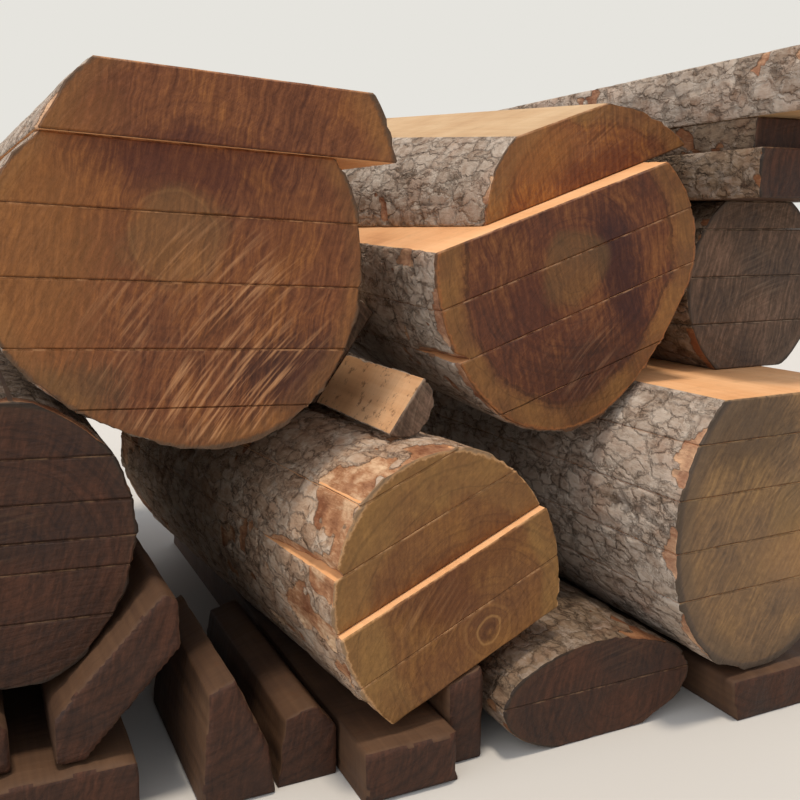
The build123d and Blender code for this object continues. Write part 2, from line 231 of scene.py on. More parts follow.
def vectors(items, key):
    # Three numbers for each item of a mesh, such as the places of its points
    numbers = np.zeros(len(items) * 3)
    items.foreach_get(key, numbers)
    return numbers.reshape(-1, 3)


def solid_arrays(node):
    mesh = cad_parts[node].data
    mesh.calc_loop_triangles()
    faces = np.zeros(len(mesh.loop_triangles) * 3, dtype=np.int32)
    mesh.loop_triangles.foreach_get("vertices", faces)
    return vectors(mesh.vertices, "co") / MM, faces.reshape(-1, 3)


def spread(count, is_round_start, is_round_end):
    # Steps from 0 to 1, closer together towards a rounded end and just short of its tip
    t = np.linspace(0, 1, count + 1)
    if is_round_end:
        t = np.sin(t * math.pi / 2) * ROUND_END
    if is_round_start:
        t = 1 - np.sin((1 - t) * math.pi / 2) * ROUND_END
    return t


def bark_distance(fronts, heart_u, heart_v):
    # How far the bark is from the heart in each direction, at the boards' front ends
    angles = []
    reaches = []
    for front in fronts:
        for chain in front.chains:
            levels = np.linspace(front.low, front.high, 12)
            u = np.interp(levels, *chain) - heart_u
            v = levels - heart_v
            angles.append(np.arctan2(u, -v))
            reaches.append(np.hypot(u, v))
    angles = np.concatenate(angles)
    reaches = np.concatenate(reaches)
    order = np.argsort(angles)
    return angles[order], reaches[order]


def sawn_log(names, heart, materials, seed, spacing=8.0, flaking=(0.3, 0.2, 22),
             torn=None):
    # All boards of one log, with bark that runs on from board to board. The heart's place is in mm from
    # the middle of the log and from its lowest point, spacing is the size of the bark's mesh in mm, and
    # torn gives the boards whose bark is torn off above the saw cut: the side (0 left, 1 right), and how
    # far back, how deep and how tall in mm.
    solids = {name: solid_arrays(name) for name in names}
    back, across, up = board_directions(*solids[names[0]])
    ends = {}
    for name, (points, faces) in solids.items():
        ends[name] = [end_outline(points, is_rear, across, up, back) for is_rear in (False, True)]
    fronts = [front for front, rear in ends.values()]
    left = min(front.chains[0][1].min() for front in fronts)
    right = max(front.chains[1][1].max() for front in fronts)
    heart_u = (left + right) / 2 + heart[0]
    heart_v = min(front.low for front in fronts) + heart[1]
    start = min(front.place for front in fronts)
    log = Log(back, across, up, heart_u, heart_v, start, math.pi * (right - left),
              bark_distance(fronts, heart_u, heart_v), seed, spacing, flaking)
    for name in names:
        mesh = board_mesh(name, *ends[name], log, materials, torn and torn.get(name))
        stand_in(name, mesh)


def board_steps(front, rear, spacing):
    # Shares of the way up a board, across it and back along it where its mesh has points, closer together
    # towards a round side, and with one more beside each arris
    round_low, round_high = [not flat for flat in front.is_flat]
    thickness = front.high - front.low
    width = np.ptp(np.concatenate([chain[1] for chain in front.chains]))
    if round_low or round_high:
        side_length = thickness * 1.9 + width / 2
    else:
        side_length = thickness * 1.05
    steps = spread(max(4, int(side_length / spacing)), round_low, round_high)
    if not round_low:
        steps = np.sort(np.append(steps, CHAMFER / thickness))
    if not round_high:
        steps = np.sort(np.append(steps, 1 - CHAMFER / thickness))
    shares = np.linspace(0, 1, max(6, int(width / END_CELL)) + 1)
    shares = np.sort(np.concatenate([shares, [CHAMFER / width, 1 - CHAMFER / width]]))
    stations = np.linspace(0, 1, max(4, int((rear.place - front.place) / spacing)) + 1)
    return steps, shares, stations


def waney_edge(side, front, rear, log, steps, stations, torn):
    # One bark edge of a board, for every station and row: its places with the bark's relief, and how much
    # of each is crack and flaked patch
    length = rear.place - front.place
    lines = []
    for end in (front, rear):
        v = end.low + (end.high - end.low) * steps
        lines.append(np.stack([np.interp(v, *end.chains[side]), v], axis=1))
    line = lines[0][None] + (lines[1] - lines[0])[None] * stations[:, None, None]
    u = line[:, :, 0] - log.heart_u
    v = line[:, :, 1] - log.heart_v
    reach = np.maximum(np.hypot(u, v), 1)
    angle = np.arctan2(u, -v)
    along = (front.place - log.start) + length * stations[:, None] + 0 * u
    around = angle / (2 * math.pi) * log.girth
    from_end = length * np.minimum(stations, 1 - stations)[:, None] + 0 * u
    relief, crack, flake = bark_relief(along, around, from_end, log.girth, log.seed, log.flaking)
    relief = relief - BARK_TOP + BARK_TOP * cloud(along / 160, angle * 3, log.seed + 20)
    rise = relief * v / reach
    push = relief * u / reach
    outward = 1 if side else -1
    last = len(steps) - 1
    for row, next_row, is_flat in ((0, 1, front.is_flat[0]), (last, last - 1, front.is_flat[1])):
        if is_flat:
            rise[:, [row, next_row]] = 0
            push[:, row] = outward * np.minimum(outward * push[:, row], 0) - outward * ARRIS_SETBACK
    if torn and torn[0] == side:
        # Bark torn off above the saw cut, from the front end back, which bares the board below
        _, torn_back, torn_deep, torn_tall = torn
        above = line[:, :, 1] - line[:, :1, 1]
        bite = ease(torn_back, torn_back * 0.2, length * stations[:, None]) * ease(torn_tall, 0, above)
        bite = bite * (0.8 + 0.4 * cloud(along / 16, above / 8, log.seed + 40))
        push = push - outward * torn_deep * bite
        flake = np.maximum(flake, ease(0.08, 0.25, bite))
    places = np.stack([line[:, :, 0] + push, line[:, :, 1] + rise], axis=2)
    return places, np.stack([crack, flake], axis=2)


def board_mesh(name, front, rear, log, materials, torn):
    # A board from its two bark edges: flat faces span between them, and its ends are grids whose rims are
    # set back to round the arris
    steps, shares, stations = board_steps(front, rear, log.spacing)
    edges, states = zip(*[waney_edge(side, front, rear, log, steps, stations, torn) for side in (0, 1)])
    rows = len(steps) - 1
    cols = len(shares) - 1

    # The loop of points round each station, the same way for every board, and the grid on its ends
    loop = [(0, c) for c in range(cols + 1)] + [(r, cols) for r in range(1, rows + 1)]
    loop = loop + [(rows, c) for c in range(cols - 1, -1, -1)] + [(r, 0) for r in range(rows - 1, 0, -1)]
    loop_rows, loop_cols = np.array(loop).T
    grid = np.meshgrid(range(rows + 1), range(cols + 1), indexing="ij")
    grid_rows, grid_cols = [numbers.ravel() for numbers in grid]
    on_rim = (grid_rows == 0) | (grid_rows == rows) | (grid_cols == 0) | (grid_cols == cols)

    def spanned(station, at_rows, at_cols):
        share = shares[at_cols][:, None]
        left, right = [edge[station][..., at_rows, :] for edge in edges]
        return left * (1 - share) + right * share

    def bark_state(station, at_rows, at_cols):
        left, right = [state[station][..., at_rows, :] for state in states]
        return np.where((at_cols <= cols / 2)[:, None], left, right).reshape(-1, 2)

    # Points: front end, the loops between, rear end
    faces = []
    insets = []
    for station in (0, -1):
        face = spanned(station, grid_rows, grid_cols)
        wave = cloud(face[:, 0] / 23, face[:, 1] / 23, log.seed + 30) - 0.5
        nick = CHAMFER * (0.55 + 0.9 * cloud(face[:, 0] / 7, face[:, 1] / 7, log.seed + 31))
        faces.append(face)
        insets.append(np.where(on_rim, nick, 0.6 + 0.8 * wave))
    between = slice(1, -1)
    sides = spanned(between, loop_rows, loop_cols).reshape(-1, 2)
    side_places = np.repeat(front.place + (rear.place - front.place) * stations[between], len(loop))
    u, v = np.concatenate([faces[0], sides, faces[1]]).T
    s = np.concatenate([front.place + insets[0], side_places, rear.place - insets[1]])
    points = (np.outer(u, log.across) + np.outer(v, log.up) + np.outer(s, log.back)) * MM

    # Faces round the board between neighbouring loops, then the two ends
    on_end = loop_rows * (cols + 1) + loop_cols
    size = len(grid_rows)
    rear_first = size + len(sides)
    inner = [size + place * len(loop) + np.arange(len(loop)) for place in range(len(stations) - 2)]
    loops = [on_end] + inner + [on_end + rear_first]
    quads = [np.stack([here, np.roll(here, -1), np.roll(there, -1), there], axis=1)
             for here, there in zip(loops, loops[1:])]
    has_bark = np.zeros(len(loop), dtype=bool)
    for numbers, outermost, is_bark in ((loop_cols, 0, True), (loop_cols, cols, True),
                                        (loop_rows, 0, not front.is_flat[0]),
                                        (loop_rows, rows, not front.is_flat[1])):
        has_bark = has_bark | (is_bark & (numbers == outermost) & (np.roll(numbers, -1) == outermost))
    corner = (grid_rows * (cols + 1) + grid_cols)[(grid_rows < rows) & (grid_cols < cols)]
    end_quads = np.stack([corner, corner + cols + 1, corner + cols + 2, corner + 1], axis=1)
    quads = np.concatenate(quads + [end_quads, end_quads[:, ::-1] + rear_first])[:, ::-1]
    kinds = np.concatenate([np.tile(np.where(has_bark, BARK, FACE), len(stations) - 1),
                            np.full(2 * len(end_quads), END)])

    mesh = bpy.data.meshes.new(name + "_wood")
    mesh.from_pydata(points.tolist(), [], quads.tolist())
    for material in materials:
        mesh.materials.append(material)
    mesh.polygons.foreach_set("material_index", kinds.astype(np.int32))
    mesh.polygons.foreach_set("use_smooth", kinds == BARK)

    # What the materials need at each point: its place in mm from the pith, how near the bark it is (1 at
    # the bark), the ends' lower arris (1) and upper arris (-1), and the bark's cracks and flaked patches
    pith = np.stack([u - log.heart_u, v - log.heart_v, s - log.start], axis=1)
    angle = np.arctan2(pith[:, 0], -pith[:, 1])
    rim = np.hypot(pith[:, 0], pith[:, 1]) / np.interp(angle, *log.bark_line)
    arris = np.where((grid_rows == 0) & front.is_flat[0], 1, 0)
    arris = np.where((grid_rows == rows) & front.is_flat[1], -1, arris)
    kerf = np.concatenate([arris, np.zeros(len(sides)), arris])
    bark = np.concatenate([bark_state(0, grid_rows, grid_cols), bark_state(between, loop_rows, loop_cols),
                           bark_state(-1, grid_rows, grid_cols)])
    mark_points(mesh, pith=pith, rim=rim, kerf=kerf, bark=np.pad(bark, ((0, 0), (0, 1))))
    mesh.validate()
    mesh.update()
    return mesh


def mark_points(mesh, **marks):
    # Numbers that the materials read at each point, one or three to a point
    for label, values in marks.items():
        kind, key = ("FLOAT", "value") if values.ndim == 1 else ("FLOAT_VECTOR", "vector")
        layer = mesh.attributes.new(label, kind, "POINT")
        layer.data.foreach_set(key, values.astype(np.float32).ravel())


def stand_in(node, mesh):
    # Puts a mesh in the scene in place of the solid that it was made from
    piece = bpy.data.objects.new(node + "_wood", mesh)
    bpy.context.scene.collection.objects.link(piece)
    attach(piece, "root")
    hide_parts(node)


# Materials

def add(tree, kind, inputs=None, stops=None, **settings):
    # A node with its settings, its colour stops, and its inputs set or linked. An input that is given a
    # node takes that node's first output.
    node = tree.nodes.new(kind)
    for key, value in settings.items():
        setattr(node, key, value)
    for key, value in (inputs or {}).items():
        if isinstance(value, bpy.types.Node):
            value = value.outputs[0]
        if isinstance(value, bpy.types.NodeSocket):
            tree.links.new(value, node.inputs[key])
        else:
            node.inputs[key].default_value = value
    for index, (place, colour) in enumerate(stops or []):
        elements = node.color_ramp.elements
        stop = elements[index] if index < 2 else elements.new(place)
        stop.position = place
        stop.color = linear(colour)
    return node


def new_material(name):
    material = bpy.data.materials.new(name)
    material.use_nodes = True
    material.node_tree.nodes.clear()
    return material, material.node_tree


def finish_material(tree, colour, height, depth, roughness, specular=0.25):
    # Joins a colour and a pattern of heights, whose full step is depth in mm, to a dull or damp surface
    bump = add(tree, "ShaderNodeBump", {"Height": height, "Distance": depth * MM, "Strength": 1.0})
    shader = add(tree, "ShaderNodeBsdfPrincipled",
                 {"Base Color": colour, "Normal": bump, "Roughness": roughness,
                  "Specular IOR Level": specular})
    add(tree, "ShaderNodeOutputMaterial", {"Surface": shader})


Face = namedtuple("Face", "pith rim kerf bent radius broad ring fibre mottle tone")


def end_face(tree, grain, rings):
    # What every zone of an end is painted from: its place in mm from the pith, bent by up to 9 mm so that
    # nothing runs dead true, and its patterns. These are damp patches 90 mm across, growth rings 4 to 10 mm
    # apart, torn fibre 55 mm long and fine mottle, which together give its tone.
    grain_angle, torn_fibre = grain
    pith = add(tree, "ShaderNodeAttribute", attribute_name="pith").outputs["Vector"]
    rim = add(tree, "ShaderNodeAttribute", attribute_name="rim").outputs["Fac"]
    kerf = add(tree, "ShaderNodeAttribute", attribute_name="kerf").outputs["Fac"]
    bend = add(tree, "ShaderNodeTexNoise", {"Vector": pith, "Scale": 1 / 48, "Detail": 2.0})
    bent = add(tree, "ShaderNodeVectorMath", {0: bend.outputs["Color"], 1: (18, 18, 0), 2: pith},
               operation="MULTIPLY_ADD")
    bent = add(tree, "ShaderNodeVectorMath", {0: bent, 1: (1, 1, 0)}, operation="MULTIPLY")
    bent = add(tree, "ShaderNodeVectorMath", {0: bent, 1: (-9, -9, 0)}, operation="ADD")
    turned = add(tree, "ShaderNodeVectorRotate", {0: bent, "Angle": math.radians(-grain_angle)},
                 rotation_type="Z_AXIS")
    radius = add(tree, "ShaderNodeVectorMath", {0: bent}, operation="LENGTH")
    broad = add(tree, "ShaderNodeTexNoise", {"Vector": bent, "Scale": 1 / 90, "Detail": 3.0,
                                             "Roughness": 0.5})
    ring = add(tree, "ShaderNodeMath", {0: radius.outputs["Value"], 1: 1 / 8}, operation="MULTIPLY")
    ring = add(tree, "ShaderNodeTexNoise", {"W": ring, "Scale": 1.0, "Detail": 3.0,
                                            "Roughness": 0.7}, noise_dimensions="1D")
    fibre = add(tree, "ShaderNodeVectorMath", {0: turned, 1: (1 / 55, 1 / 5, 0)}, operation="MULTIPLY")
    fibre = add(tree, "ShaderNodeTexNoise", {"Vector": fibre, "Scale": 1.0, "Detail": 4.0,
                                             "Roughness": 0.6})
    mottle = add(tree, "ShaderNodeTexNoise", {"Vector": pith, "Scale": 1 / 9, "Detail": 4.0,
                                              "Roughness": 0.7})
    tone = add(tree, "ShaderNodeMath", {0: fibre, 1: torn_fibre, 2: -torn_fibre / 2},
               operation="MULTIPLY_ADD")
    tone = add(tree, "ShaderNodeMath", {0: mottle, 1: 0.3, 2: tone}, operation="MULTIPLY_ADD")
    tone = add(tree, "ShaderNodeMath", {0: ring, 1: rings, 2: tone}, operation="MULTIPLY_ADD")
    tone = add(tree, "ShaderNodeMath", {0: broad, 1: 0.9, 2: tone}, operation="MULTIPLY_ADD")
    tone = add(tree, "ShaderNodeMapRange", {0: tone, 1: 0.34 + rings / 2, 2: 0.86 + rings / 2,
                                            3: 0.0, 4: 1.0})
    return Face(pith, rim, kerf, bent, radius.outputs["Value"], broad, ring, fibre, mottle, tone)


def stained(tree, face, colour, stains):
    # Damp or discoloured places with ragged edges, each with its place in mm from the pith, its reach
    # across and up, its colour and its strength
    for (x, y), (wide, tall), stain_colour, strength in stains:
        spot = add(tree, "ShaderNodeVectorMath", {0: face.bent, 1: (-x, -y, 0)}, operation="ADD")
        spot = add(tree, "ShaderNodeVectorMath", {0: spot, 1: (1 / wide, 1 / tall, 0)},
                   operation="MULTIPLY")
        spot = add(tree, "ShaderNodeVectorMath", {0: spot}, operation="LENGTH")
        ragged = add(tree, "ShaderNodeMath", {0: face.tone, 1: 0.5, 2: spot.outputs["Value"]},
                     operation="MULTIPLY_ADD")
        wet = add(tree, "ShaderNodeMapRange", {0: ragged, 1: 0.55, 2: 1.3, 3: strength, 4: 0.0},
                  interpolation_type="SMOOTHSTEP")
        colour = add(tree, "ShaderNodeMix", {0: wet, 6: colour, 7: linear(stain_colour)},
                     data_type="RGBA").outputs[2]
    return colour


def zone_reach(tree, face):
    # How far out a point is, from 0 at the pith to 1 at the bark, uneven so that zones have soft borders
    reach = add(tree, "ShaderNodeMath", {0: face.mottle, 1: 0.05, 2: -0.025}, operation="MULTIPLY_ADD")
    reach = add(tree, "ShaderNodeMath", {0: reach, 1: face.rim}, operation="ADD")
    swell = add(tree, "ShaderNodeMath", {0: face.broad, 1: 0.3, 2: -0.15}, operation="MULTIPLY_ADD")
    fade = add(tree, "ShaderNodeMapRange", {0: face.rim, 1: 0.7, 2: 0.92, 3: 1.0, 4: 0.1})
    return add(tree, "ShaderNodeMath", {0: swell, 1: fade, 2: reach}, operation="MULTIPLY_ADD")


def heart_circles(tree, face, reach, colour, heart, heart_size, circles):
    # The heart, and rings round the pith that stand out, each with its radius and width in mm, its colour
    # and its strength
    core = add(tree, "ShaderNodeMapRange", {0: reach, 1: heart_size - 0.04, 2: heart_size + 0.06,
                                            3: 0.38, 4: 0.0}, interpolation_type="SMOOTHSTEP")
    colour = add(tree, "ShaderNodeMix", {0: core, 6: colour, 7: linear(heart)},
                 data_type="RGBA").outputs[2]
    for place, width, circle_colour, strength in circles:
        off = add(tree, "ShaderNodeMath", {0: face.radius, 1: place}, operation="SUBTRACT")
        off = add(tree, "ShaderNodeMath", {0: off}, operation="ABSOLUTE")
        drawn = add(tree, "ShaderNodeMath", {0: face.mottle, 1: width * 1.6, 2: off},
                    operation="MULTIPLY_ADD")
        drawn = add(tree, "ShaderNodeMapRange", {0: drawn, 1: width * 0.8, 2: width * 1.7,
                                                 3: strength, 4: 0.0}, interpolation_type="SMOOTHSTEP")
        colour = add(tree, "ShaderNodeMix", {0: drawn, 6: colour, 7: linear(circle_colour)},
                     data_type="RGBA").outputs[2]
    return colour


def sapwood_and_rind(tree, face, reach, colour, colours, sap):
    # Sapwood, drier in some places than others, and a thin rind of bark, with the shade of the dark line
    # where the sapwood starts
    band, band_strength, line_strength, rind = sap
    sapwood, inner_bark, bark = [colours[part] for part in ("sapwood", "inner_bark", "bark")]
    outer = add(tree, "ShaderNodeValToRGB", {0: reach},
                stops=[(0.0, sapwood), (1.0, bark), (1 - rind, sapwood), (1 - rind * 0.75, inner_bark),
                       (1 - rind * 0.35, bark)])
    fresh = add(tree, "ShaderNodeMapRange", {0: face.broad, 1: 0.36, 2: 0.56, 3: 0.45, 4: 1.0})
    edge = add(tree, "ShaderNodeMapRange", {0: reach, 1: band - 0.03, 2: band + 0.08, 3: 0.0,
                                            4: band_strength}, interpolation_type="SMOOTHSTEP")
    edge = add(tree, "ShaderNodeMath", {0: edge, 1: fresh}, operation="MULTIPLY")
    firm = add(tree, "ShaderNodeMapRange", {0: reach, 1: 1 - rind * 1.05, 2: 1 - rind * 0.7,
                                            3: 0.0, 4: 0.9})
    edge = add(tree, "ShaderNodeMath", {0: edge, 1: firm}, operation="MAXIMUM")
    zoned = add(tree, "ShaderNodeMix", {0: edge, 6: colour, 7: outer}, data_type="RGBA")
    line = add(tree, "ShaderNodeMath", {0: reach, 1: band, 2: 0.012}, operation="COMPARE")
    line = add(tree, "ShaderNodeMath", {0: line, 1: fresh}, operation="MULTIPLY")
    line = add(tree, "ShaderNodeMath", {0: line, 1: -line_strength, 2: 1.0}, operation="MULTIPLY_ADD")
    return zoned.outputs[2], line


def shaded(tree, face, colour, line, torn_fibre, rings):
    # Fibre, mottle and rings shade every zone alike
    grained = add(tree, "ShaderNodeMapRange", {0: face.fibre, 1: 0.3, 2: 0.7, 3: 1 - 0.17 * torn_fibre,
                                               4: 1 + 0.14 * torn_fibre})
    speck = add(tree, "ShaderNodeMapRange", {0: face.mottle, 1: 0.3, 2: 0.7, 3: 0.88, 4: 1.1})
    shade = add(tree, "ShaderNodeMapRange", {0: face.ring, 1: 0.32, 2: 0.46, 3: 1 - rings, 4: 1.0})
    shade = add(tree, "ShaderNodeMath", {0: speck, 1: shade}, operation="MULTIPLY")
    shade = add(tree, "ShaderNodeMath", {0: grained, 1: shade}, operation="MULTIPLY")
    shade = add(tree, "ShaderNodeMath", {0: shade, 1: line}, operation="MULTIPLY")
    return add(tree, "ShaderNodeVectorMath", {0: colour, "Scale": shade}, operation="SCALE")


def saw_scored(tree, face, reach, colour, scored):
    # Saw scores 5 mm wide and 80 mm long, a little bowed and in bundles, pale where they tore fresh fibre
    # and dark between, crowded round one place on the face
    (score_x, score_y), score_reach, score_angle, pale, strength = scored
    turned = add(tree, "ShaderNodeVectorRotate", {0: face.pith, "Angle": math.radians(-score_angle)},
                 rotation_type="Z_AXIS")
    slant = add(tree, "ShaderNodeSeparateXYZ", {0: turned})
    bow = add(tree, "ShaderNodeMath", {0: slant.outputs[0], 1: slant.outputs[0]}, operation="MULTIPLY")
    bow = add(tree, "ShaderNodeMath", {0: bow, 1: 1 / 1500, 2: slant.outputs[1]},
              operation="MULTIPLY_ADD")
    bowed = add(tree, "ShaderNodeCombineXYZ", {0: slant.outputs[0], 1: bow})
    score = add(tree, "ShaderNodeVectorMath", {0: bowed, 1: (1 / 80, 1 / 5, 0)}, operation="MULTIPLY")
    score = add(tree, "ShaderNodeTexNoise", {"Vector": score, "Scale": 1.0, "Detail": 2.0,
                                             "Roughness": 0.5})
    bundle = add(tree, "ShaderNodeVectorMath", {0: bowed, 1: (1 / 170, 1 / 30, 0)}, operation="MULTIPLY")
    bundle = add(tree, "ShaderNodeTexNoise", {"Vector": bundle, "Scale": 1.0, "Detail": 2.0})
    bundle = add(tree, "ShaderNodeMapRange", {0: bundle, 1: 0.4, 2: 0.56, 3: 0.15, 4: 1.0})
    there = add(tree, "ShaderNodeVectorMath", {0: face.bent, 1: (score_x, score_y, 0)},
                operation="DISTANCE")
    there = add(tree, "ShaderNodeMapRange", {0: there.outputs["Value"], 1: score_reach * 0.45,
                                             2: score_reach * 1.25, 3: 1.0, 4: 0.0},
                interpolation_type="SMOOTHSTEP")
    there = add(tree, "ShaderNodeMath", {0: there, 1: bundle}, operation="MULTIPLY")
    torn = add(tree, "ShaderNodeMapRange", {0: score, 1: 0.49, 2: 0.68, 3: 0.0, 4: strength})
    torn = add(tree, "ShaderNodeMath", {0: torn, 1: there}, operation="MULTIPLY")
    inside = add(tree, "ShaderNodeMapRange", {0: reach, 1: 0.94, 2: 0.97, 3: 1.0, 4: 0.0})
    torn = add(tree, "ShaderNodeMath", {0: torn, 1: inside}, operation="MULTIPLY")
    colour = add(tree, "ShaderNodeMix", {0: torn, 6: colour, 7: linear(pale)},
                 data_type="RGBA").outputs[2]
    dull = add(tree, "ShaderNodeMapRange", {0: score, 1: 0.36, 2: 0.49, 3: 0.3, 4: 0.0})
    dull = add(tree, "ShaderNodeMath", {0: dull, 1: there}, operation="MULTIPLY")
    dull = add(tree, "ShaderNodeMath", {0: 1.0, 1: dull}, operation="SUBTRACT")
    colour = add(tree, "ShaderNodeVectorMath", {0: colour, "Scale": dull}, operation="SCALE")
    return colour, score


def kerf_shade_and_splinters(tree, face, colour, pale):
    # Painted shade darkens the lower arris where the saw cut runs between boards, broken in places, and the
    # upper one is painted pale: loose pale splinters, and a painted highlight where the arris catches the
    # light
    broken = add(tree, "ShaderNodeTexNoise", {"Vector": face.pith, "Scale": 1 / 26, "Detail": 3.0,
                                              "Roughness": 0.7})
    kerf_shade_strength = add(tree, "ShaderNodeMapRange", {0: broken, 1: 0.36, 2: 0.6, 3: 1.0, 4: 0.45})
    kerf_shade = add(tree, "ShaderNodeMapRange", {0: face.kerf, 1: 0.25, 2: 0.95, 3: 0.0, 4: 0.85})
    kerf_shade = add(tree, "ShaderNodeMath", {0: kerf_shade, 1: kerf_shade_strength}, operation="MULTIPLY")
    # Painted shade: the saw cut's lower arris darkened to near black brown
    colour = add(tree, "ShaderNodeMix", {0: kerf_shade, 6: colour, 7: linear("#26160e")},
                 data_type="RGBA").outputs[2]
    # Pale splinters with a painted highlight along the upper arris
    loose = add(tree, "ShaderNodeMapRange", {0: broken, 1: 0.46, 2: 0.6, 3: 0.1, 4: 1.0})
    splinter_and_highlight = add(tree, "ShaderNodeMapRange", {0: face.kerf, 1: -0.2, 2: -0.9, 3: 0.0, 4: 0.8})
    splinter_and_highlight = add(tree, "ShaderNodeMath", {0: splinter_and_highlight, 1: loose}, operation="MULTIPLY")
    return add(tree, "ShaderNodeMix", {0: splinter_and_highlight, 6: colour, 7: linear(pale)},
               data_type="RGBA").outputs[2]


def end_grain(name, colours, grain, heart_size, rings, sap, scored, circles=(), stains=()):
    # Chainsawn end grain. grain is the angle and strength of the torn fibre, rings the strength of the
    # growth rings, sap where the sapwood starts, the strength of it and of the line before it, and the
    # share that is bark, and scored the place, reach, angle, colour and strength of the saw scores.
    material, tree = new_material(name)
    face = end_face(tree, grain, rings)
    torn_fibre = grain[1]
    pale = scored[3]
    wood = add(tree, "ShaderNodeValToRGB", {0: face.tone},
               stops=[(0.0, colours["dark"]), (1.0, colours["light"]), (0.5, colours["middle"])])
    colour = stained(tree, face, wood, stains)
    reach = zone_reach(tree, face)
    colour = heart_circles(tree, face, reach, colour, colours["heart"], heart_size, circles)
    colour, line = sapwood_and_rind(tree, face, reach, colour, colours, sap)
    colour = shaded(tree, face, colour, line, torn_fibre, rings)
    colour, score = saw_scored(tree, face, reach, colour, scored)
    colour = kerf_shade_and_splinters(tree, face, colour, pale)
    relief = add(tree, "ShaderNodeMath", {0: score, 1: 0.8, 2: face.mottle}, operation="MULTIPLY_ADD")
    relief = add(tree, "ShaderNodeMath", {0: face.fibre, 1: 0.6 * torn_fibre, 2: relief},
                 operation="MULTIPLY_ADD")
    damp = add(tree, "ShaderNodeMapRange", {0: face.broad, 1: 0.35, 2: 0.65, 3: 0.5, 4: 0.74})
    finish_material(tree, colour, relief, depth=1.5, roughness=damp, specular=0.3)
    return material


def sawn_face(name, wood, grain, dark, specks=0.1):
    # Board face fresh off the chainsaw: long soft grain, faint chatter 9 mm apart across it, and grains of
    # sawdust and dirt
    material, tree = new_material(name)
    pith = add(tree, "ShaderNodeAttribute", attribute_name="pith").outputs["Vector"]
    grained = add(tree, "ShaderNodeVectorMath", {0: pith, 1: (1 / 8, 1 / 8, 1 / 480)},
                  operation="MULTIPLY")
    grained = add(tree, "ShaderNodeTexNoise", {"Vector": grained, "Scale": 1.0, "Detail": 4.0})
    patches = add(tree, "ShaderNodeTexNoise", {"Vector": pith, "Scale": 1 / 110, "Detail": 3.0})
    chatter = add(tree, "ShaderNodeVectorMath", {0: pith, 1: (1 / 240, 1 / 60, 1 / 9)},
                  operation="MULTIPLY")
    chatter = add(tree, "ShaderNodeTexNoise", {"Vector": chatter, "Scale": 1.0, "Detail": 3.0})
    tone = add(tree, "ShaderNodeMath", {0: grained, 1: 0.34, 2: -0.02}, operation="MULTIPLY_ADD")
    tone = add(tree, "ShaderNodeMath", {0: patches, 1: 0.8, 2: tone}, operation="MULTIPLY_ADD")
    base = add(tree, "ShaderNodeValToRGB", {0: tone}, stops=[(0.25, dark), (0.78, wood), (0.5, grain)])
    line = add(tree, "ShaderNodeMapRange", {0: chatter, 1: 0.35, 2: 0.6, 3: 0.97, 4: 1.02})
    toned = add(tree, "ShaderNodeVectorMath", {0: base, "Scale": line}, operation="SCALE")
    dust = add(tree, "ShaderNodeTexNoise", {"Vector": pith, "Scale": 1 / 16, "Detail": 4.0,
                                            "Roughness": 0.75})
    dust = add(tree, "ShaderNodeMapRange", {0: dust, 1: 0.56, 2: 0.66, 3: 0.0, 4: specks})
    dusty = add(tree, "ShaderNodeMix", {0: dust, 6: toned, 7: linear("#5a3a24")}, data_type="RGBA")
    finish_material(tree, dusty.outputs[2], chatter, depth=1.2, roughness=0.7)
    return material


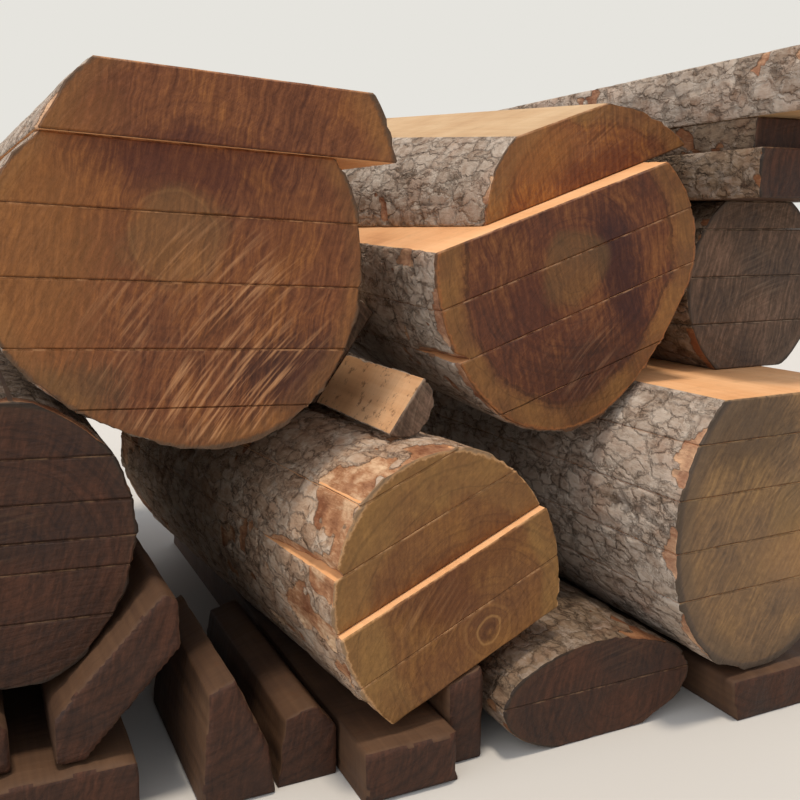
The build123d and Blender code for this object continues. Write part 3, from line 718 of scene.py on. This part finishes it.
def scaly_bark(name, plate, old_plate, crack, bare, fresh, lichen):
    # Living bark: weathered plates 22 mm wide and 46 mm long, each a little higher or lower than the next,
    # with thin cracks between them darkened as painted shade, and streaky inner bark where plates flaked
    # off
    material, tree = new_material(name)
    pith = add(tree, "ShaderNodeAttribute", attribute_name="pith").outputs["Vector"]
    state = add(tree, "ShaderNodeAttribute", attribute_name="bark").outputs["Vector"]
    split = add(tree, "ShaderNodeSeparateXYZ", {0: state})
    bend = add(tree, "ShaderNodeTexNoise", {"Vector": pith, "Scale": 1 / 20, "Detail": 4.0,
                                            "Roughness": 0.65})
    bent = add(tree, "ShaderNodeVectorMath", {0: bend.outputs["Color"], 1: (22, 22, 34), 2: pith},
               operation="MULTIPLY_ADD")
    cells = add(tree, "ShaderNodeVectorMath", {0: bent, 1: (1 / 22, 1 / 22, 1 / 46)},
                operation="MULTIPLY")
    edges = add(tree, "ShaderNodeTexVoronoi", {"Vector": cells, "Scale": 1.0}, feature="DISTANCE_TO_EDGE")
    plates = add(tree, "ShaderNodeTexVoronoi", {"Vector": cells, "Scale": 1.0})
    own = add(tree, "ShaderNodeSeparateXYZ", {0: plates.outputs["Color"]})
    chips = add(tree, "ShaderNodeTexVoronoi", {"Vector": cells, "Scale": 2.7})
    lengthwise = add(tree, "ShaderNodeVectorMath", {0: bent, 1: (1 / 38, 1 / 38, 1 / 130)},
                     operation="MULTIPLY")
    lengthwise = add(tree, "ShaderNodeTexNoise", {"Vector": lengthwise, "Scale": 1.0, "Detail": 2.0})
    lengthwise = add(tree, "ShaderNodeMath", {0: lengthwise, 1: 0.5}, operation="SUBTRACT")
    lengthwise = add(tree, "ShaderNodeMath", {0: lengthwise}, operation="ABSOLUTE")
    chip = add(tree, "ShaderNodeSeparateXYZ", {0: chips.outputs["Color"]})
    fibre = add(tree, "ShaderNodeVectorMath", {0: pith, 1: (1 / 5, 1 / 5, 1 / 16)}, operation="MULTIPLY")
    fibre = add(tree, "ShaderNodeTexNoise", {"Vector": fibre, "Scale": 1.0, "Detail": 5.0,
                                             "Roughness": 0.75})
    patch = add(tree, "ShaderNodeTexNoise", {"Vector": pith, "Scale": 1 / 60, "Detail": 4.0,
                                             "Roughness": 0.6})
    tint = add(tree, "ShaderNodeTexNoise", {"Vector": bent, "Scale": 1 / 30, "Detail": 4.0,
                                            "Roughness": 0.65})
    tone = add(tree, "ShaderNodeMath", {0: own.outputs[0], 1: 0.2, 2: -0.33}, operation="MULTIPLY_ADD")
    tone = add(tree, "ShaderNodeMath", {0: chip.outputs[0], 1: 0.16, 2: tone}, operation="MULTIPLY_ADD")
    tone = add(tree, "ShaderNodeMath", {0: fibre, 1: 0.6, 2: tone}, operation="MULTIPLY_ADD")
    tone = add(tree, "ShaderNodeMath", {0: tint, 1: 0.75, 2: tone}, operation="MULTIPLY_ADD")
    colour = add(tree, "ShaderNodeValToRGB", {0: tone},
                 stops=[(0.26, old_plate), (0.8, lichen), (0.5, plate)])
    stain = add(tree, "ShaderNodeMapRange", {0: patch, 1: 0.5, 2: 0.68, 3: 0.0, 4: 0.32})
    colour = add(tree, "ShaderNodeMix", {0: stain, 6: colour, 7: linear(bare)},
                 data_type="RGBA").outputs[2]

    # Cracks: painted shade in thin lines between plates, closed in places, and a soft painted shade in the
    # deep ones
    open_share = add(tree, "ShaderNodeMapRange", {0: tint, 1: 0.42, 2: 0.58, 3: 1.0, 4: 0.2})
    crack_shade = add(tree, "ShaderNodeMapRange", {0: edges.outputs["Distance"], 1: 0.0, 2: 0.06, 3: 0.7, 4: 0.0})
    long_crack_shade = add(tree, "ShaderNodeMapRange", {0: lengthwise, 1: 0.0, 2: 0.016, 3: 0.8, 4: 0.0})
    crack_shade = add(tree, "ShaderNodeMath", {0: crack_shade, 1: long_crack_shade}, operation="MAXIMUM")
    crack_shade = add(tree, "ShaderNodeMath", {0: crack_shade, 1: open_share}, operation="MULTIPLY")
    deep_crack_shade = add(tree, "ShaderNodeMapRange", {0: split.outputs[0], 1: 0.25, 2: 0.95, 3: 0.0, 4: 0.55})
    crack_shade = add(tree, "ShaderNodeMath", {0: crack_shade, 1: deep_crack_shade}, operation="MAXIMUM")
    colour = add(tree, "ShaderNodeMix", {0: crack_shade, 6: colour, 7: linear(crack)},
                 data_type="RGBA").outputs[2]

    # Inner bark, streaked along the log from rust to cream
    streak = add(tree, "ShaderNodeMath", {0: patch, 1: 1.3, 2: -0.42}, operation="MULTIPLY_ADD")
    streak = add(tree, "ShaderNodeMath", {0: fibre, 1: 0.55, 2: streak}, operation="MULTIPLY_ADD")
    flesh = add(tree, "ShaderNodeValToRGB", {0: streak},
                stops=[(0.3, "#7d4a2e"), (0.75, fresh), (0.5, bare)])
    bared = add(tree, "ShaderNodeMath", {0: fibre, 1: 0.9, 2: split.outputs[1]}, operation="MULTIPLY_ADD")
    bared = add(tree, "ShaderNodeMapRange", {0: bared, 1: 0.8, 2: 1.0, 3: 0.0, 4: 0.92})
    colour = add(tree, "ShaderNodeMix", {0: bared, 6: colour, 7: flesh}, data_type="RGBA").outputs[2]

    # Each plate stands at its own height with a rounded edge; chips and fibre roughen it
    raised = add(tree, "ShaderNodeMapRange", {0: edges.outputs["Distance"], 1: 0.0, 2: 0.13, 3: 0.0,
                                              4: 0.7}, interpolation_type="SMOOTHSTEP")
    swollen = add(tree, "ShaderNodeMapRange", {0: lengthwise, 1: 0.0, 2: 0.035, 3: 0.0, 4: 0.6},
                  interpolation_type="SMOOTHSTEP")
    raised = add(tree, "ShaderNodeMath", {0: raised, 1: swollen}, operation="ADD")
    height = add(tree, "ShaderNodeMath", {0: own.outputs[1], 1: 0.55, 2: raised},
                 operation="MULTIPLY_ADD")
    height = add(tree, "ShaderNodeMath", {0: chip.outputs[1], 1: 0.35, 2: height},
                 operation="MULTIPLY_ADD")
    whole = add(tree, "ShaderNodeMath", {0: 1.0, 1: bared}, operation="SUBTRACT")
    height = add(tree, "ShaderNodeMath", {0: height, 1: whole}, operation="MULTIPLY")
    height = add(tree, "ShaderNodeMath", {0: fibre, 1: 0.9, 2: height}, operation="MULTIPLY_ADD")
    finish_material(tree, colour, height, depth=3.2, roughness=0.9, specular=0.15)
    return material


# Offcuts under the logs: each is remeshed from its own solid, with a chipped, uneven surface. They were
# cut from a log whose pith lay to one side of them and above, and well inside its bark.
OFFCUT_PITH = (-60, 90)
OFFCUT_RIM = 0.6
FOOT_DEPTH = 0.4


def remeshed(node, cell):
    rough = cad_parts[node].data.copy()
    rough.materials.clear()
    blank = bpy.data.objects.new(node + "_blank", rough)
    bpy.context.scene.collection.objects.link(blank)
    remesh = blank.modifiers.new("cells", "REMESH")
    remesh.mode = "VOXEL"
    remesh.voxel_size = cell * MM
    mesh = bpy.data.meshes.new_from_object(blank.evaluated_get(bpy.context.evaluated_depsgraph_get()))
    bpy.data.objects.remove(blank)
    return mesh


def offcut(node, materials, seed, cell=8.0):
    mesh = remeshed(node, cell)
    points = vectors(mesh.vertices, "co") / MM
    normals = vectors(mesh.vertices, "normal")
    low = points.min(axis=0)
    high = points.max(axis=0)
    x, y, z = points.T

    # Long splits on the sides, saw chatter and chips on the ends, all of it cut into the solid
    side = x + z
    splits = 2.4 * cloud(y / 130, side / 9, seed) + 1.6 * cloud(y / 30, side / 17, seed + 1)
    chips = 2.2 * cloud(x / 24, z / 24, seed + 2) + 1.0 * cloud(x / 8, z / 8, seed + 3)
    depth = np.where(np.abs(normals[:, 1]) > 0.6, chips, splits)
    depth = np.where(z < low[2] + cell, FOOT_DEPTH, depth)
    points = np.clip(points - normals * depth[:, None], low, high)
    mesh.vertices.foreach_set("co", (points * MM).astype(np.float32).ravel())
    for material in materials:
        mesh.materials.append(material)
    is_end = np.abs(vectors(mesh.polygons, "normal")[:, 1]) > 0.6
    mesh.polygons.foreach_set("material_index", np.where(is_end, END, FACE).astype(np.int32))
    mesh.polygons.foreach_set("use_smooth", np.ones(len(mesh.polygons), dtype=bool))
    middle = (low + high) / 2
    pith = np.stack([x - middle[0] - OFFCUT_PITH[0], z - middle[2] - OFFCUT_PITH[1], y - low[1]], axis=1)
    mark_points(mesh, pith=pith, rim=np.full(len(x), OFFCUT_RIM), kerf=np.zeros(len(x)))
    mesh.update()
    stand_in(node, mesh)


def end_colours(heart, light, middle, dark, sapwood, inner_bark, bark):
    return {"heart": heart, "light": light, "middle": middle, "dark": dark, "sapwood": sapwood,
            "inner_bark": inner_bark, "bark": bark}


# Fresh red heartwood of the big left log, cut damp: orange-brown, torn pale where the chain came out
red_end = end_grain(
    "red_hardwood_chainsawn_end",
    end_colours("#876239", "#905a2f", "#784627", "#5c3018", "#8a6136", "#6f4a2b", "#544231"),
    grain=(78, 0.9), heart_size=0.25, rings=0.08, sap=(0.87, 0.4, 0.0, 0.034),
    scored=((50, -125), 140, 47, "#cf9767", 0.75),
    circles=((47, 3, "#94693e", 0.25), (53, 4, "#58301b", 0.35)),
    stains=(((-165, -20), (120, 200), "#94602f", 0.6), ((10, 75), (150, 45), "#522618", 0.7),
            ((150, -150), (90, 80), "#43241a", 0.75), ((120, 0), (50, 60), "#6a3a22", 0.4),
            ((-10, 10), (60, 60), "#7a4f2a", 0.3), ((-105, -165), (70, 36), "#5a4228", 0.6)))

# The same wood soaked, in the middle log: nearly black-brown with a purple stain and an olive heart
wet_end = end_grain(
    "red_hardwood_wet_end",
    end_colours("#7a5c33", "#82522d", "#623620", "#462518", "#8f6535", "#9c6233", "#5a3f2a"),
    grain=(85, 0.65), heart_size=0.24, rings=0.16, sap=(0.8, 0.62, 0.35, 0.04),
    scored=((-20, -110), 60, 25, "#c99a72", 0.25),
    stains=(((64, -30), (48, 130), "#371815", 0.8), ((-70, -20), (60, 120), "#512819", 0.55),
            ((-20, -130), (150, 60), "#422315", 0.5)))

# The loose slab on it, drier and more orange
cap_end = end_grain(
    "orange_hardwood_chainsawn_end",
    end_colours("#7a5c33", "#9a642f", "#7d4b29", "#5f331c", "#86653a", "#8a5a30", "#544231"),
    grain=(80, 0.8), heart_size=0.2, rings=0.1, sap=(0.82, 0.5, 0.2, 0.03),
    scored=((40, 120), 60, 25, "#c99a72", 0.15),
    stains=(((-60, 110), (70, 50), "#9a6430", 0.5), ((40, 70), (120, 30), "#5a2d1b", 0.6)))

# Tan wood of the front log, cut clean: soft red centre, yellow-brown rim, and a knot with a pale ring
tan_end = end_grain(
    "tan_hardwood_chainsawn_end",
    end_colours("#54301a", "#8b5f30", "#794f29", "#663e20", "#8f6b3b", "#c09262", "#8a7054"),
    grain=(70, 0.45), heart_size=0.1, rings=0.16, sap=(0.7, 0.6, 0.0, 0.035),
    scored=((-60, 60), 50, 30, "#d8a673", 0.15),
    circles=((8, 7, "#4a2814", 0.6), (17, 3, "#a97c48", 0.6), (33, 4, "#94683a", 0.4)),
    stains=(((-45, 70), (75, 60), "#613416", 0.7), ((35, 95), (70, 40), "#643819", 0.5),
            ((-60, 10), (80, 30), "#683c1d", 0.4)))

# Dull brown wood of the right log: olive mottles, and a wide dark rind
brown_end = end_grain(
    "brown_hardwood_chainsawn_end",
    end_colours("#86683f", "#947249", "#7d5f40", "#624b36", "#64503c", "#57473a", "#453a30"),
    grain=(60, 0.7), heart_size=0.2, rings=0.06, sap=(0.84, 0.8, 0.0, 0.06),
    scored=((0, 60), 80, 35, "#a98a62", 0.2),
    stains=(((-90, 110), (120, 90), "#523f2d", 0.65), ((20, -60), (110, 60), "#9f764b", 0.5),
            ((60, 60), (70, 90), "#6a4e36", 0.4)))

# Ends of the lowest wood, painted dark brown: painted shade for the deep shade they lie in
dark_end_painted_shade = end_grain(
    "dark_hardwood_end_painted_shade",
    end_colours("#1c110c", "#523121", "#3e2518", "#291710", "#4c3323", "#38291c", "#2a2018"),
    grain=(75, 0.6), heart_size=0.06, rings=0.2, sap=(0.87, 0.4, 0.2, 0.04),
    scored=((0, 40), 50, 10, "#8a6a4c", 0.1))

# Ends that dried grey
grey_end = end_grain(
    "dry_hardwood_weathered_end",
    end_colours("#5a4535", "#7a5f4d", "#594434", "#3d2d23", "#6a5443", "#4f4034", "#3d3229"),
    grain=(75, 0.8), heart_size=0.1, rings=0.1, sap=(0.87, 0.4, 0.0, 0.05),
    scored=((0, 0), 60, 20, "#a08a72", 0.2))

# Board faces: fresh orange, paler, dusted with sawdust and dirt, and dark brown as painted shade for pieces
# that lie in deep shade
orange_face = sawn_face("red_hardwood_sawn_face", "#f2bd8a", "#e5aa75", "#c68a58")
tan_face = sawn_face("pale_hardwood_sawn_face", "#cbac84", "#bc986f", "#9c7a54")
dusty_face = sawn_face("dusty_hardwood_sawn_face", "#e2b98f", "#cf9f73", "#a87c52", 0.7)
dark_face_painted_shade = sawn_face("dark_hardwood_sawn_face_painted_shade", "#634833", "#4b3526", "#332319", 0.3)

# Bark: dry and grey, warmer where it was freshly knocked, and a dark copy as painted shade for bark low in
# the heap; the crack colour of each is painted shade
grey_bark = scaly_bark("grey_scaly_bark", "#b5a392", "#8c7663", "#42362b", "#a5775a", "#dbb08a", "#cfc1b1")
warm_bark = scaly_bark("warm_scaly_bark", "#ba9c82", "#907158", "#42332a", "#b07d58", "#ecc9a2", "#d5c2ad")
dark_bark_painted_shade = scaly_bark("scaly_bark_painted_shade", "#85705b", "#5c4a3c", "#2b2018", "#7a4c30", "#a07350", "#a19182")

fresh_red = (red_end, orange_face, grey_bark)
soaked = (wet_end, orange_face, grey_bark)
fresh_tan = (tan_end, orange_face, warm_bark)
dull_brown = (brown_end, orange_face, grey_bark)
dried_grey = (grey_end, dusty_face, grey_bark)
# Painted shade: the dark end, face and bark for wood that lies in deep shade
dark_painted_shade = (dark_end_painted_shade, dark_face_painted_shade, dark_bark_painted_shade)


# The logs, each with its boards from the lowest up
def boards_of(log, *boards):
    return [log + "_" + board for board in boards]


sawn_log(boards_of("big_left_log", "bottom_slab", "board_1", "board_2", "board_3", "board_4"),
         (-12, 240), fresh_red, seed=11, spacing=8)
sawn_log(["big_left_log_loose_slab"], (-30, -90), fresh_red, seed=12, spacing=7)
sawn_log(boards_of("middle_log", "bottom_slab", "board_1", "board_2", "board_3"), (0, 205), soaked,
         seed=23, spacing=5.5, flaking=(0.27, 0.4, 18), torn={"middle_log_board_2": (0, 150, 13, 16)})
sawn_log(["middle_log_loose_slab"], (0, -50), (cap_end, tan_face, grey_bark), seed=24, spacing=5.5,
         flaking=(0.24, 0.15, 15))
sawn_log(boards_of("right_log", "bottom_slab", "board_1", "board_2", "board_3", "board_4"), (20, 215),
         dull_brown, seed=35, spacing=5, flaking=(0.24, 0.25, 22))
sawn_log(boards_of("front_log", "board_1", "board_2", "board_3", "board_4", "top_slab"), (22, 32),
         fresh_tan, seed=46, spacing=4.8, flaking=(0.3, 0.3, 75),
         torn={"front_log_board_4": (0, 230, 13, 18)})
sawn_log(boards_of("lower_left_log", "bottom_slab", "board_1", "board_2", "board_3", "board_4",
                   "top_slab"), (-18, 150), dark_painted_shade, seed=57, spacing=10)
sawn_log(["wedged_log_lower_half"], (0, 42), dried_grey, seed=68, spacing=5)
sawn_log(["wedged_log_upper_half"], (0, 14), dried_grey, seed=69, spacing=9)
sawn_log(boards_of("half_log", "bottom", "top"), (30, 66), dark_painted_shade, seed=79)
# The upper right log lies in shade: its faces and bark are the dark ones, painted shade
sawn_log(boards_of("upper_right_log", "board_1", "board_2", "board_3", "board_4"), (0, 124),
         (grey_end, dark_face_painted_shade, dark_bark_painted_shade), seed=81, spacing=10)
sawn_log(["dark_flitch"], (0, 35), dark_painted_shade, seed=92)
sawn_log(["thin_flitch"], (0, 20), dark_painted_shade, seed=93)
sawn_log(["top_flitch"], (0, 46), (grey_end, tan_face, grey_bark), seed=94, spacing=6.5)

# The pieces under the logs, each with its seed and the size of its mesh in mm, in the dark end and face
# that are painted shade
for piece_name, piece_seed, piece_cell in (
        ("ground_sleeper", 101, 8), ("left_chock", 102, 8), ("right_chock", 103, 7),
        ("offcut_left", 104, 6), ("offcut_right", 105, 6), ("ground_plank", 106, 8),
        ("ground_slab", 107, 8), ("front_prop", 108, 8)):
    offcut(piece_name, (dark_end_painted_shade, dark_face_painted_shade), piece_seed, piece_cell)


# Floor and light
def floor_material():
    material, tree = new_material("matt_studio_floor")
    shader = add(tree, "ShaderNodeBsdfPrincipled", {"Base Color": linear("#cbc8c2"), "Roughness": 0.95})
    add(tree, "ShaderNodeOutputMaterial", {"Surface": shader})
    return material


floor_mesh = bpy.data.meshes.new("floor")
floor_mesh.from_pydata([(-30, -30, 0), (30, -30, 0), (30, 30, 0), (-30, 30, 0)], [], [(0, 1, 2, 3)])
floor_mesh.materials.append(floor_material())
floor = bpy.data.objects.new("floor", floor_mesh)
bpy.context.scene.collection.objects.link(floor)

world = bpy.data.worlds.new("soft_daylight")
world.use_nodes = True
world.node_tree.nodes.clear()
rays = add(world.node_tree, "ShaderNodeLightPath")
soft_light = add(world.node_tree, "ShaderNodeBackground", {0: linear("#e9ecf2"), 1: 0.8})
backdrop = add(world.node_tree, "ShaderNodeBackground", {0: linear("#e6e4de"), 1: 1.0})
seen = add(world.node_tree, "ShaderNodeMixShader", {0: rays.outputs["Is Camera Ray"], 1: soft_light,
                                                    2: backdrop})
add(world.node_tree, "ShaderNodeOutputWorld", {"Surface": seen})
bpy.context.scene.world = world

# A high warm lamp and a broad cool one from the front left, both soft
for name, energy, angle, colour, direction in (
        ("high_lamp", 1.9, 9, (1.0, 0.88, 0.74), (0.06, 0.06, -0.99)),
        ("broad_lamp", 1.2, 70, (0.96, 0.97, 1.0), (0.86, 0.36, -0.3))):
    lamp = bpy.data.objects.new(name, bpy.data.lights.new(name, "SUN"))
    lamp.data.energy = energy
    lamp.data.angle = math.radians(angle)
    lamp.data.color = colour
    lamp.rotation_euler = Vector(direction).to_track_quat("-Z", "Y").to_euler()
    bpy.context.scene.collection.objects.link(lamp)
